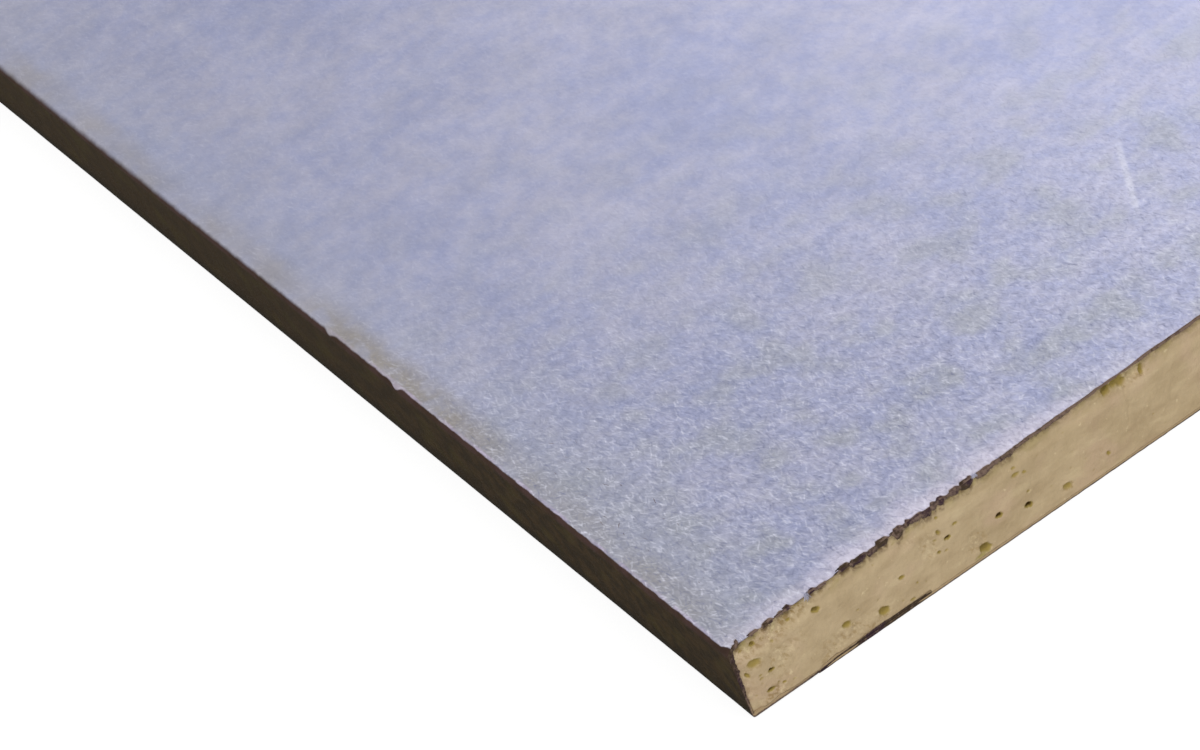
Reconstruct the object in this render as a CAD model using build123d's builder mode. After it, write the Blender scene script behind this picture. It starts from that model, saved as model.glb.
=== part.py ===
from build123d import *
from math import atan2, cos, pi, sin, tan
import os

# Drywall sheet: a gypsum core between two papers, lying flat with its face up.
# X runs across the width, Y along the length, Z up through the thickness.
# The origin is the middle of the back, on the surface that the sheet lies on.

# Sheet
sheet_width = 1219.0
sheet_length = 2438.0
sheet_thickness = 12.7

# Paper
face_paper_thickness = 0.45
back_paper_thickness = 0.40

# Tapered long edge, thinner than the field so that joint tape and filler end up flush
edge_height = 11.1
taper_width = 63.5
taper_blend_radius = 500.0
edge_undercut = 1.2
nose_radius = 1.0
heel_radius = 0.7

# Face paper folded round the edge onto the back, and the back paper lapped over it
flap_width = 25.0
back_paper_setback = 12.0

# The nose is the top corner of a long edge and the heel its bottom corner. The edge leans
# in from nose to heel, so that neighbouring sheets meet at their faces. A rounded nose
# stands inside the corner of its two tangents, so that corner is set out by as much as
# brings the nose itself to the sheet's full width.
taper_angle = atan2(sheet_thickness - edge_height, taper_width)
undercut_angle = atan2(edge_undercut, edge_height - back_paper_thickness)
nose_tangent = nose_radius * tan((pi / 2 - taper_angle + undercut_angle) / 2)
nose_set_out = nose_tangent * cos(taper_angle) - nose_radius * (1 - sin(taper_angle))
nose_x = sheet_width / 2 + nose_set_out
heel_x = nose_x - edge_undercut
flap_end_x = heel_x - flap_width
back_paper_end_x = heel_x - back_paper_setback

os.makedirs("parts", exist_ok=True)

# Section of the wrapped board: all that lies inside the outer surface of the face paper.
# The folded flaps lie on the inner side of the back paper, so it starts at that height.
with BuildSketch(Plane.XZ) as board_section:
    with BuildLine():
        right_half = Polyline(
            (0, back_paper_thickness),
            (heel_x, back_paper_thickness),
            (nose_x, edge_height),
            (nose_x - taper_width, sheet_thickness),
            (0, sheet_thickness),
        )
        mirror(right_half, about=Plane.YZ)
    make_face()
    fillet(board_section.vertices().group_by(Axis.Y)[-1], taper_blend_radius)
    fillet(board_section.vertices().group_by(Axis.Y)[1], nose_radius)
    fillet(board_section.vertices().group_by(Axis.Y)[0], heel_radius)

# Section of the gypsum: inside the face paper all round, and level with the outside
# of the folded flaps on the strip of back between them.
with BuildSketch(Plane.XZ) as core_section:
    add(board_section.sketch_local)
    offset(amount=-face_paper_thickness, kind=Kind.INTERSECTION, mode=Mode.REPLACE)
    with Locations((0, back_paper_thickness)):
        Rectangle(
            2 * flap_end_x,
            2 * face_paper_thickness,
            align=(Align.CENTER, Align.MIN),
        )

# Section of the face paper: what the gypsum leaves of the wrapped board. It covers the
# face, follows both tapers, wraps the two long edges and ends in a flap on the back.
with BuildSketch(Plane.XZ) as face_paper_section:
    add(board_section.sketch_local)
    add(core_section.sketch_local, mode=Mode.SUBTRACT)

# Gypsum core: cast in one piece between the papers, bare at the two cut ends
with BuildPart() as gypsum_core:
    extrude(core_section.sketch, amount=sheet_length / 2, both=True)

gypsum_core.part.label = "gypsum_core"
export_step(gypsum_core.part, "parts/gypsum_core.step")

# Face paper: one sheet of paper from flap to flap
with BuildPart() as face_paper:
    extrude(face_paper_section.sketch, amount=sheet_length / 2, both=True)

face_paper.part.label = "face_paper"
export_step(face_paper.part, "parts/face_paper.step")

# Back paper: flat, over the back of the core and the inner part of both flaps
with BuildPart() as back_paper:
    with BuildSketch(Plane.XY):
        Rectangle(2 * back_paper_end_x, sheet_length)
    extrude(amount=back_paper_thickness)

back_paper.part.label = "back_paper"
export_step(back_paper.part, "parts/back_paper.step")
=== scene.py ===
import math

import bmesh
import bpy
import numpy as np
from mathutils import Matrix, Vector


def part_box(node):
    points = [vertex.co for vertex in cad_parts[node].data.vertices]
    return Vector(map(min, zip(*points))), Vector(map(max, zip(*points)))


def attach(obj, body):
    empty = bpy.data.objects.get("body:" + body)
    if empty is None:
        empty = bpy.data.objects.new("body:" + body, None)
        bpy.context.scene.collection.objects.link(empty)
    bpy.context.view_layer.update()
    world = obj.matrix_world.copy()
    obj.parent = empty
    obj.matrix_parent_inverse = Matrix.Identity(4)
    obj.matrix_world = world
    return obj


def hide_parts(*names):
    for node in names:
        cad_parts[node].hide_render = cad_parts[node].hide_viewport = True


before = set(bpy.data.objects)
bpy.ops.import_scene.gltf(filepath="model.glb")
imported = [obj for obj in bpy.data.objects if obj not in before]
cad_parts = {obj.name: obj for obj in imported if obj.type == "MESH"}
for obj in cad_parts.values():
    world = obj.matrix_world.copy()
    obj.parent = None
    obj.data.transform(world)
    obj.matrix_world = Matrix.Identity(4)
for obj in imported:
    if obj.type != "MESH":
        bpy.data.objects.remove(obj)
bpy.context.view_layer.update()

# %% [markdown]
# # A drywall sheet at its corner
# Drywall is a board of foamed gypsum cast between two papers. This lesson dresses one sheet
# for a close look at a corner: the fibrous face paper, its wrapped long edge, and the sawn
# end where the bare core shows. Everything is in metres, in the frame of the imported model.
# We keep the model's box first.

# %% [markdown]
# ## Sizes
# The overall sizes come from the frame, so that the dressed sheet always fits it. The few
# sizes of the edge are the board's own: how thin the edge is, how wide the taper runs, and
# the radii of the fold. Beside the back paper, which ends short of the edge, the folded
# flap dips to the floor. Under the face and beside the edge the sawn core stands a little
# behind the ends of the papers, which leaves room for the torn fibres in front of it.

# %% Sizes of the sheet and its edge
MM = 0.001
half_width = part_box("face_paper")[1].x
half_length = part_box("face_paper")[1].y
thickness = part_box("face_paper")[1].z
back_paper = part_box("back_paper")[1].z
back_paper_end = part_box("back_paper")[1].x
face_paper = 0.45 * MM

edge_height = 11.1 * MM
taper_width = 63.5 * MM
blend_radius = 500.0 * MM
nose_radius = 1.0 * MM
heel_radius = 0.45 * MM
edge_undercut = 1.2 * MM
flap_width = 25.0 * MM
edge_dip = 0.34 * MM

taper_angle = math.atan2(thickness - edge_height, taper_width)
undercut_angle = math.atan2(edge_undercut, edge_height - back_paper)
nose_tangent = nose_radius * math.tan((math.pi / 2 - taper_angle + undercut_angle) / 2)
nose_set_out = nose_tangent * math.cos(taper_angle) - nose_radius * (1 - math.sin(taper_angle))
nose_x = half_width + nose_set_out
heel_x = nose_x - edge_undercut
flap_end_x = heel_x - flap_width
end_setback = 0.35 * MM
print("sheet", round(2 * half_width, 4), "x", round(2 * half_length, 4), "x", thickness)

# %% [markdown]
# ## Noise for shapes
# Torn paper and crumbled gypsum are irregular, but the script has to give the same sheet
# each time. Value noise does both: random numbers from a seeded generator stand on a square
# lattice, and points between them are blended smoothly. Adding copies at half the size and
# half the height gives the rougher look of broken plaster.

# %% Smooth and rough noise
LATTICE = 256


def smooth_noise(x, y, size, seed):
    """Noise from -1 to 1: random lattice values a `size` apart, blended by 3t^2 - 2t^3."""
    table = np.random.default_rng(seed).uniform(-1, 1, (LATTICE, LATTICE))
    grid_x, grid_y = np.broadcast_arrays(x / size, y / size)
    cell_x, cell_y = np.floor(grid_x).astype(int), np.floor(grid_y).astype(int)
    part_x, part_y = grid_x - cell_x, grid_y - cell_y
    part_x = part_x * part_x * (3 - 2 * part_x)
    part_y = part_y * part_y * (3 - 2 * part_y)
    left, right = cell_x % LATTICE, (cell_x + 1) % LATTICE
    low, high = cell_y % LATTICE, (cell_y + 1) % LATTICE
    bottom = table[left, low] * (1 - part_x) + table[right, low] * part_x
    top = table[left, high] * (1 - part_x) + table[right, high] * part_x
    return bottom * (1 - part_y) + top * part_y


def rough_noise(x, y, size, seed, octaves=3):
    """Smooth noise plus copies of it, each half as large and half as high as the last."""
    total = sum(
        smooth_noise(x, y, size / 2**k, seed + k) / 2**k for k in range(octaves)
    )
    return total / sum(1 / 2**k for k in range(octaves))


def ramp(value, start, end):
    """0 before start, 1 after end, and the smooth curve 3t^2 - 2t^3 between them."""
    t = np.clip((value - start) / (end - start), 0, 1)
    return t * t * (3 - 2 * t)


print("noise spans", rough_noise(np.linspace(0, 9, 500), 0, 1.0, 1).round(2)[[0, 250, 499]])

# %% [markdown]
# ## Grids, tubes and seams
# Each piece is a grid of points worked out as whole arrays. A grid needs faces between its
# rows, and a tube also joins the end of each row to its start. Where a dense border meets a
# coarse one, a seam merges the places of both along their common line and makes one triangle
# for each step, so that no gap is left between them.

# %% Grids, tubes and seams
def graded(stops, steps):
    """Places from the first stop to the last, spaced by about each step in its interval."""
    runs = [
        np.linspace(a, b, max(1, math.ceil((b - a) / step - 1e-9)) + 1)[:-1]
        for a, b, step in zip(stops[:-1], stops[1:], steps)
    ]
    return np.concatenate(runs + [[stops[-1]]])


def point_numbers(rows, columns, first=0):
    """Numbers of a grid's points, row by row, counted from the first."""
    return first + np.arange(rows * columns).reshape(rows, columns)


def grid_quads(index):
    """Quads between neighbouring rows and columns of point numbers."""
    corners = (index[..., :-1, :-1], index[..., 1:, :-1], index[..., 1:, 1:], index[..., :-1, 1:])
    return np.stack(corners, axis=-1).reshape(-1, 4)


def tube_quads(index):
    """Quads of a tube whose rings are the rows: the end of each ring joins its start."""
    return grid_quads(np.concatenate([index, index[..., :1]], axis=-1))


def seam(line_a, places_a, line_b, places_b):
    """Triangles between two lines of points: one for each step along either line."""
    beside_a = np.searchsorted(places_b[1:], places_a[1:], side="left")
    beside_b = np.searchsorted(places_a[1:], places_b[1:], side="right")
    steps_a = np.stack([line_a[:-1], line_a[1:], line_b[beside_a]], axis=-1)
    steps_b = np.stack([line_b[1:], line_b[:-1], line_a[beside_b]], axis=-1)
    return np.concatenate([steps_a, steps_b])


def sewn_borders(index_a, rows_a, columns_a, index_b, rows_b, columns_b):
    """Seams between the four borders of grid a and those of grid b."""
    sides = [seam(index_a[:, k], rows_a, index_b[:, k], rows_b) for k in (0, -1)]
    ends = [seam(index_a[k], columns_a, index_b[k], columns_b) for k in (0, -1)]
    return np.concatenate(sides + ends)


print("a 3 x 4 grid has", len(grid_quads(point_numbers(3, 4))), "quads")

# %% [markdown]
# ## From points to a piece
# A mesh can take its points, faces, materials and attributes as whole arrays, which is fast
# for many thousand faces. After that its faces are turned outwards. The cell prints each
# piece's volume and its open edges: a closed shell has none. Every piece rides on the one
# body that the sheet is, and hides the node of the imported model that it stands for.

# %% Pieces from arrays
def add_piece(name, points, faces, materials, stands_for=(), face_material=None,
              attributes=None, uv=None):
    """A mesh object from points and lists of quads or triangles, riding on the sheet."""
    mesh = bpy.data.meshes.new(name)
    points = np.asarray(points, np.float32).reshape(-1, 3)
    corners = np.concatenate([ring.ravel() for ring in faces]).astype(np.int32)
    sizes = np.concatenate([np.full(len(ring), ring.shape[1]) for ring in faces])
    mesh.vertices.add(len(points))
    mesh.vertices.foreach_set("co", points.ravel())
    mesh.loops.add(len(corners))
    mesh.loops.foreach_set("vertex_index", corners)
    mesh.polygons.add(len(sizes))
    starts = np.concatenate([[0], np.cumsum(sizes)[:-1]]).astype(np.int32)
    mesh.polygons.foreach_set("loop_start", starts)
    for material in materials:
        mesh.materials.append(material)
    if face_material is not None:
        mesh.polygons.foreach_set("material_index", face_material.astype(np.int32))
    mesh.polygons.foreach_set("use_smooth", np.ones(len(sizes), bool))
    for key, values in (attributes or {}).items():
        layer = mesh.attributes.new(key, "FLOAT", "POINT")
        layer.data.foreach_set("value", np.asarray(values, np.float32).ravel())
    if uv is not None:
        layer = mesh.uv_layers.new(name="paper")
        layer.data.foreach_set("uv", uv[corners].astype(np.float32).ravel())
    mesh.update(calc_edges=True)
    shell = bmesh.new()
    shell.from_mesh(mesh)
    bmesh.ops.recalc_face_normals(shell, faces=shell.faces)
    volume = shell.calc_volume(signed=True) * 1e6
    open_edges = sum(not edge.is_manifold for edge in shell.edges)
    shell.to_mesh(mesh)
    shell.free()
    piece = bpy.data.objects.new(name, mesh)
    bpy.context.scene.collection.objects.link(piece)
    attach(piece, "root")
    for node in stands_for:
        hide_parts(node)
    print(name, int((sizes - 2).sum()), "triangles", round(volume, 2), "cm3", open_edges, "open")
    return piece


# %% [markdown]
# ## The profile of the wrapped edge
# Seen on its end, the face paper runs from a flap on the back round the heel, up the edge
# face, over the nose, up the taper and across the sheet, and the same way down the other
# side. Straight stretches joined by tangent arcs describe that exactly. We store each
# stretch by its start, heading and curvature. Walking this way round, the outside of the
# board is always on the left hand.

# %% Outline with rounded corners
def rounded_outline(corners, radii):
    """Stretches (start distance, start point, heading, curvature) and the total length.
    Each corner is cut back by radius x tan(half the turn), where its arc is tangent."""
    corners = np.array(corners)
    legs = np.diff(corners, axis=0)
    lengths = np.hypot(legs[:, 0], legs[:, 1])
    headings = np.arctan2(legs[:, 1], legs[:, 0])
    turns = (headings[:-1] - headings[1:]) % (2 * math.pi)
    cuts = np.concatenate([[0], np.array(radii) * np.tan(turns / 2), [0]])
    stretches, distance = [], 0.0
    for i, heading in enumerate(headings):
        way = legs[i] / lengths[i]
        start = corners[i] + way * cuts[i]
        straight = lengths[i] - cuts[i] - cuts[i + 1]
        stretches.append([distance, *start, heading, 0.0])
        distance += straight
        if i < len(radii):
            stretches.append([distance, *(start + way * straight), heading, 1 / radii[i]])
            distance += radii[i] * turns[i]
    return np.array(stretches), distance


left_corners = [
    (-flap_end_x, back_paper),
    (-heel_x, back_paper),
    (-nose_x, edge_height),
    (taper_width - nose_x, thickness),
]
right_corners = [(-x, z) for x, z in reversed(left_corners)]
edge_radii = [heel_radius, nose_radius, blend_radius]
outline, outline_length = rounded_outline(
    left_corners + right_corners, edge_radii + edge_radii[::-1]
)
heel_start, edge_start, nose_start, taper_start = outline[1:5, 0]
field_start = outline[6, 0]
far_taper = outline[8, 0]
print("outline length", round(outline_length, 4), "from flap to flap")

# %% [markdown]
# ## Points along the outline
# Any place on the paper is now a distance along its outline. We ask for the point there and
# for the outward normal, and go in from it by a depth to reach the plies and the core. The
# dip of the flap beside the back paper is a small smooth shift, added last.

# %% Points along the outline
def dipped(points):
    """Points of the outline, lowered by edge_dip beyond the back paper's end, and less and
    less up the edge, with smooth changes both ways."""
    beyond = ramp(np.abs(points[..., 0]), back_paper_end + 0.3 * MM, back_paper_end + 3 * MM)
    fall = edge_dip * beyond * ramp(points[..., 1], 7 * MM, 0.6 * MM)
    return points - fall[..., None] * (0.0, 1.0)


def along(stretches, distance):
    """Points and outward normals at distances along an outline. On an arc the heading falls
    by curvature x distance, and the point is the centre plus the radius times the normal."""
    distance = np.asarray(distance, float)
    which = np.searchsorted(stretches[:, 0], distance, side="right") - 1
    start, x, z, heading, bend = np.moveaxis(stretches[np.clip(which, 0, None)], -1, 0)
    step = distance - start
    turned = heading - bend * step
    normal = np.stack([-np.sin(turned), np.cos(turned)], axis=-1)
    first = np.stack([-np.sin(heading), np.cos(heading)], axis=-1)
    way = np.stack([np.cos(heading), np.sin(heading)], axis=-1)
    radius = 1 / np.where(bend == 0, 1.0, bend)
    origin = np.stack([x, z], axis=-1)
    straight = origin + way * step[..., None]
    curved = origin + (normal - first) * radius[..., None]
    return dipped(np.where((bend == 0)[..., None], straight, curved)), normal


def inside_outline(u, depth):
    """x and z of points a depth inside the outline at u, and the outward normals there."""
    place, normal = along(outline, u)
    return place - normal * np.broadcast_to(depth, normal.shape[:-1])[..., None], normal


def in_space(section, v):
    """Points in space from x and z in the section and the distance v from the near end."""
    return np.stack([section[..., 0], v - half_length, section[..., 1]], axis=-1)


x_on_nose = along(outline, taper_start)[0][0] + half_width
print("taper starts", round(x_on_nose / MM, 2), "mm in from the side")

# %% [markdown]
# ## Nodes and sums
# A procedural material is a graph of small nodes. Short helpers keep the graphs readable.
# One adds any node and sets or links its inputs. The others do sums, read a value that the
# mesh stores, and make a smooth step between two limits.

# %% Nodes and sums
def fill_sockets(tree, node, inputs):
    """Set each input of a node to a number or colour, or link an output to it."""
    for socket, value in inputs.items():
        if isinstance(value, bpy.types.NodeSocket):
            tree.links.new(value, node.inputs[socket])
        else:
            node.inputs[socket].default_value = value
    return node


def add_node(tree, kind, inputs=None, **settings):
    """A shader node with its settings, and its inputs set or linked."""
    node = tree.nodes.new("ShaderNode" + kind)
    for key, value in settings.items():
        setattr(node, key, value)
    return fill_sockets(tree, node, inputs or {})


def calc(tree, operation, *values, clamp=False):
    """The result of one Math node."""
    inputs = dict(enumerate(values))
    return add_node(tree, "Math", inputs, operation=operation, use_clamp=clamp).outputs[0]


def product(tree, first, *others):
    """All the values multiplied together, one after the other."""
    for value in others:
        first = calc(tree, "MULTIPLY", first, value)
    return first


def distance_from(tree, value, middle):
    """How far a value is from the middle, on either side of it."""
    return calc(tree, "ABSOLUTE", calc(tree, "SUBTRACT", value, middle))


def vector_calc(tree, operation, *values):
    """The result of one Vector Math node."""
    return add_node(tree, "VectorMath", dict(enumerate(values)), operation=operation).outputs[0]


def smooth_step(tree, value, low, high, to_low=0.0, to_high=1.0):
    """to_low below low, to_high above high, and a smooth change between them."""
    inputs = {"Value": value, "From Min": low, "From Max": high,
              "To Min": to_low, "To Max": to_high}
    return add_node(tree, "MapRange", inputs, interpolation_type="SMOOTHSTEP").outputs[0]


def stored(tree, attribute):
    """A value that the mesh stores at its points."""
    return add_node(tree, "Attribute", attribute_name=attribute).outputs["Fac"]


print("a millimetre is", MM, "of a metre")

# %% [markdown]
# ## Colours and noise
# Colours are written as they look on a screen, 0 to 255, and turned into the linear values
# that the renderer works with. A mask lays one colour over another, and noise breaks the
# mask into patches. The noise takes its size in metres, to be compared with a ruler.

# %% Colours and noise
def colour(red, green, blue):
    """A screen colour, 0 to 255, as linear red, green, blue and an alpha of 1."""
    screen = np.array([red, green, blue]) / 255
    linear = np.where(screen <= 0.04045, screen / 12.92, ((screen + 0.055) / 1.055) ** 2.4)
    return (*linear.tolist(), 1.0)


def mix_colour(tree, factor, a, b, blend="MIX"):
    """Colour a where the factor is 0 and colour b where it is 1."""
    node = add_node(tree, "Mix", {0: factor, 6: a, 7: b}, data_type="RGBA", blend_type=blend)
    return node.outputs[2]


def tinted(tree, shade, factor):
    """A colour made lighter or darker by a factor."""
    return mix_colour(tree, 1.0, shade, factor, "MULTIPLY")


def layered(tree, shade, layers):
    """Colours laid over a shade in turn, each by its own mask: pairs of mask and colour."""
    for mask, tone in layers:
        shade = mix_colour(tree, mask, shade, tone)
    return shade


def noise(tree, vector, size, detail=2.0, roughness=0.5):
    """A Noise Texture whose features are about `size` metres across."""
    inputs = {"Vector": vector, "Scale": 1 / size, "Detail": detail, "Roughness": roughness}
    return add_node(tree, "TexNoise", inputs).outputs[0]


print("paper grey", [round(v, 3) for v in colour(166, 169, 191)])

# %% [markdown]
# ## Groups and materials
# An effect that several materials share is a node group with named sockets, built once. A
# material starts as a Principled shader with a roughness and a specular level of its own. It
# ends with a colour and a relief, which is a height in metres that a Bump node turns into
# tilted normals. The heights are small, so they need no faces of their own.

# %% Groups and materials
def new_group(name, inputs, outputs):
    """A shader node group with named sockets: (name, socket type, start value or None)."""
    tree = bpy.data.node_groups.new(name, "ShaderNodeTree")
    for label, kind, value in inputs:
        socket = tree.interface.new_socket(label, in_out="INPUT", socket_type=kind)
        if value is not None:
            socket.default_value = value
    for label, kind in outputs:
        tree.interface.new_socket(label, in_out="OUTPUT", socket_type=kind)
    return tree, tree.nodes.new("NodeGroupInput").outputs, tree.nodes.new("NodeGroupOutput").inputs


def place_group(tree, group, inputs):
    """A copy of a node group inside a material or another group."""
    node = tree.nodes.new("ShaderNodeGroup")
    node.node_tree = group
    return fill_sockets(tree, node, inputs).outputs


def new_material(name, roughness, specular):
    """An empty material with a Principled shader, and the shader's own two constants."""
    material = bpy.data.materials.new(name)
    material.use_nodes = True
    shader = material.node_tree.nodes["Principled BSDF"]
    shader.inputs["Roughness"].default_value = roughness
    shader.inputs["Specular IOR Level"].default_value = specular
    return material, material.node_tree, shader


def dress(tree, shader, shade, height=None):
    """Link the colour, and tilt the normals by a height in metres where one is given."""
    tree.links.new(shade, shader.inputs["Base Color"])
    if height is not None:
        bump = add_node(tree, "Bump", {"Strength": 1.0, "Distance": 1.0, "Height": height})
        tree.links.new(bump.outputs[0], shader.inputs["Normal"])


FLOAT, VECTOR = "NodeSocketFloat", "NodeSocketVector"
print("group sockets are", FLOAT, "and", VECTOR)

# %% [markdown]
# ## Paper fibres as a node group
# Board paper is a felt of short fibres that lie mostly along the making direction. We could
# stretch a noise, but that gives stripes, not separate fibres. So each cell of a Voronoi
# pattern gets one fibre: its random colour gives the fibre an angle, a bend and a tone. The
# cells are longer along the sheet, and four layers, shifted and turned, overlap as a felt.
# The group puts out the height of the fibres and a tone that lightens or darkens them.

# %% Fibre groups
def fibre_layer_group():
    """One fibre in each Voronoi cell: a bent line with soft sides and soft ends."""
    tree, given, result = new_group(
        "Fibre layer",
        [("Vector", VECTOR, None), ("Shift", VECTOR, None), ("Turn", FLOAT, 0.0),
         ("Across", FLOAT, 0.0005), ("Along", FLOAT, 0.0014), ("Half width", FLOAT, 0.00008),
         ("Spread", FLOAT, 2.0)],
        [("Fibre", FLOAT), ("Tone", FLOAT)],
    )
    moved = vector_calc(tree, "ADD", given["Vector"], given["Shift"])
    turned = add_node(
        tree, "VectorRotate", {"Vector": moved, "Angle": given["Turn"]}, rotation_type="Z_AXIS"
    ).outputs[0]
    cell_size = add_node(tree, "CombineXYZ", {0: given["Across"], 1: given["Along"], 2: 1.0})
    scaled = vector_calc(tree, "DIVIDE", turned, cell_size.outputs[0])
    cells = add_node(tree, "TexVoronoi", {"Vector": scaled, "Scale": 1.0},
                     voronoi_dimensions="2D", feature="F1")
    from_centre = vector_calc(tree, "SUBTRACT", scaled, cells.outputs["Position"])
    from_centre = vector_calc(tree, "MULTIPLY", from_centre, cell_size.outputs[0])
    chance = add_node(tree, "SeparateColor", {0: cells.outputs["Color"]}).outputs
    lean = product(tree, calc(tree, "SUBTRACT", chance[0], 0.5), given["Spread"])
    own = add_node(
        tree, "VectorRotate", {"Vector": from_centre, "Angle": lean}, rotation_type="Z_AXIS"
    ).outputs[0]
    across, lengthwise, _ = add_node(tree, "SeparateXYZ", {0: own}).outputs
    bend = product(tree, calc(tree, "SUBTRACT", chance[1], 0.5), 420.0)
    bow = product(tree, bend, product(tree, lengthwise, lengthwise))
    aside = calc(tree, "ABSOLUTE", calc(tree, "ADD", across, bow))
    line = smooth_step(tree, aside, given["Half width"], 0.0)
    reach = calc(tree, "DIVIDE", calc(tree, "ABSOLUTE", lengthwise), given["Along"])
    fibre = product(tree, line, smooth_step(tree, reach, 0.52, 0.30))
    tone = product(tree, fibre, calc(tree, "MULTIPLY_ADD", chance[2], 2.0, -1.0))
    tree.links.new(fibre, result["Fibre"])
    tree.links.new(tone, result["Tone"])
    return tree


def felt_group(layer):
    """Four fibre layers, each shifted and turned a little against the last."""
    tree, given, result = new_group(
        "Felt fibres",
        [("Vector", VECTOR, None), ("Across", FLOAT, 0.0005), ("Along", FLOAT, 0.0014),
         ("Half width", FLOAT, 0.00008), ("Spread", FLOAT, 2.0)],
        [("Height", FLOAT), ("Tone", FLOAT)],
    )
    height, tone = 0.0, 0.0
    for k, turn in enumerate((-0.65, -0.4, -0.1, 0.2)):
        inputs = {"Vector": given["Vector"], "Shift": (0.0131 * k, 0.0077 * k, 0.0), "Turn": turn}
        inputs |= {name: given[name] for name in ("Across", "Along", "Half width", "Spread")}
        fibres = place_group(tree, layer, inputs)
        height = calc(tree, "MAXIMUM", height, fibres["Fibre"])
        tone = calc(tree, "ADD", tone, fibres["Tone"])
    tree.links.new(height, result["Height"])
    tree.links.new(tone, result["Tone"])
    return tree


felt = felt_group(fibre_layer_group())
print("felt group", len(felt.nodes), "nodes")

# %% [markdown]
# ## Clouding as a node group
# Held against the light, paper is cloudy, because its fibres flock together. The face shows
# it as soft patches of bluer and greyer tone, a few millimetres across, with slow changes
# over several centimetres. Two sizes of noise added together give that, and the back paper
# and the gypsum use the same group at sizes of their own.

# %% Clouding group
def clouding_group():
    """Noise at two sizes, from about 0 to 1: small flocks on slow, wide changes."""
    tree, given, result = new_group(
        "Clouding",
        [("Vector", VECTOR, None), ("Flock scale", FLOAT, 300.0), ("Wide scale", FLOAT, 40.0),
         ("Wide share", FLOAT, 0.5)],
        [("Cloud", FLOAT)],
    )
    flocks = add_node(tree, "TexNoise", {"Vector": given["Vector"], "Scale": given["Flock scale"],
                                         "Detail": 3.0, "Roughness": 0.6}).outputs[0]
    wide = add_node(tree, "TexNoise", {"Vector": given["Vector"], "Scale": given["Wide scale"],
                                       "Detail": 1.5, "Roughness": 0.5}).outputs[0]
    both = add_node(tree, "Mix", {0: given["Wide share"], 2: flocks, 3: wide}).outputs[0]
    tree.links.new(smooth_step(tree, both, 0.3, 0.7), result["Cloud"])
    return tree


clouding = clouding_group()


def clouds(tree, place, flock_scale, wide_scale, wide_share):
    """The clouding group with its two scales, in clouds a metre, and the wide one's share."""
    inputs = {"Vector": place, "Flock scale": flock_scale, "Wide scale": wide_scale,
              "Wide share": wide_share}
    return place_group(tree, clouding, inputs)["Cloud"]


print("clouding group", len(clouding.nodes), "nodes")

# %% [markdown]
# ## Colours and map of the face paper
# The face is lavender-grey, and its wrapped edge dark brown. The material reads the sheet's
# own map, which unrolls the paper: u is the distance from the nose of the photographed edge,
# in metres, and v the distance from the photographed end. So fibres and marks run on over
# the taper and round the fold.

# %% Colours and map of the face paper
nose_middle = (nose_start + taper_start) / 2
far_nose = outline_length - 2 * nose_middle
torn_length = 46 * MM

PAPER_COOL = colour(160, 165, 197)
PAPER_WARM = colour(182, 182, 203)
PAPER_GREY = colour(165, 168, 179)
FIBRE_LIGHT = colour(222, 223, 238)
FIBRE_DARK = colour(112, 116, 148)
FLUFFED = colour(206, 200, 216)
FRAYED = colour(138, 120, 112)
TAPER_DIRT = colour(149, 143, 137)
# Painted highlight along the nose.
NOSE_HIGHLIGHT = colour(186, 172, 200)
# The edge browns are the paper's brown, painted darker by the shade on this side.
EDGE_BROWN = colour(56, 43, 25)
EDGE_DARK = colour(40, 31, 17)
EDGE_OLIVE = colour(60, 51, 24)
EDGE_WORN = colour(70, 52, 48)
# Painted shade, nearly black, by the floor.
EDGE_FLOOR_SHADE = colour(20, 16, 6)


def paper_map(tree):
    """u and v of the paper's own map, and how far a point is from the nearer nose."""
    place = add_node(tree, "UVMap", uv_map="paper").outputs[0]
    u, v, _ = add_node(tree, "SeparateXYZ", {0: place}).outputs
    from_nose = calc(tree, "MINIMUM", u, calc(tree, "SUBTRACT", far_nose, u))
    return place, u, v, from_nose


print("from nose to nose", round(far_nose, 4))

# %% [markdown]
# ## Clouds of the pale side
# The paper is cooler and warmer in clouds. Near the cut and along the nose it has been
# rubbed greyer. A painted fall of light makes it darker towards the edge and farther from
# the cut end, and lighter farther in. All of this is slow change, so it is mixed first, and
# the marks and the fibres lie over it.

# %% Clouds of the pale side
def clouded_face(tree, place, v, from_nose):
    """Cool and warm clouds, greyer patches by the cut, a rubbed strip by the nose, painted light.
    """
    shade = mix_colour(tree, clouds(tree, place, 330.0, 45.0, 0.4), PAPER_COOL, PAPER_WARM)
    grey = smooth_step(tree, noise(tree, place, 6 * MM, 3.0), 0.45, 0.68)
    near_cut = smooth_step(tree, v, 90 * MM, 0.0, 0.12, 0.85)
    shade = mix_colour(tree, product(tree, grey, near_cut), shade, PAPER_GREY)
    rubbed = product(tree, smooth_step(tree, from_nose, 16 * MM, 2 * MM, 0.0, 0.65),
                     smooth_step(tree, v, 60 * MM, 30 * MM, 0.35, 1.0))
    shade = mix_colour(tree, rubbed, shade, PAPER_GREY)
    # Painted light: darker near the nose and farther from the cut end, lighter farther in.
    painted_light_falloff = product(tree, smooth_step(tree, from_nose, 4 * MM, 125 * MM, 0.90, 1.36),
                      smooth_step(tree, v, 55 * MM, 155 * MM, 1.0, 0.92))
    return tinted(tree, shade, painted_light_falloff)


print("cool paper", [round(v, 3) for v in PAPER_COOL])

# %% [markdown]
# ## Marks on the pale side
# Along the cut the paper is fluffed paler, and at its very end frayed brown. Yellowish dirt
# lies on the taper, with one strong stain by the nose. The nose carries a thin painted lilac
# highlight, and a short scuff crosses the face. Each mark is a mask made from distances in the
# paper's map. One noise, for wear and sheen, breaks up most of them, so that the worn marks
# look worn by the same hands.

# %% Fluff, dirt, wear and scuff
STAIN_V = 65 * MM
SCUFF_U = 78 * MM
SCUFF_V = 24.5 * MM


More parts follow.
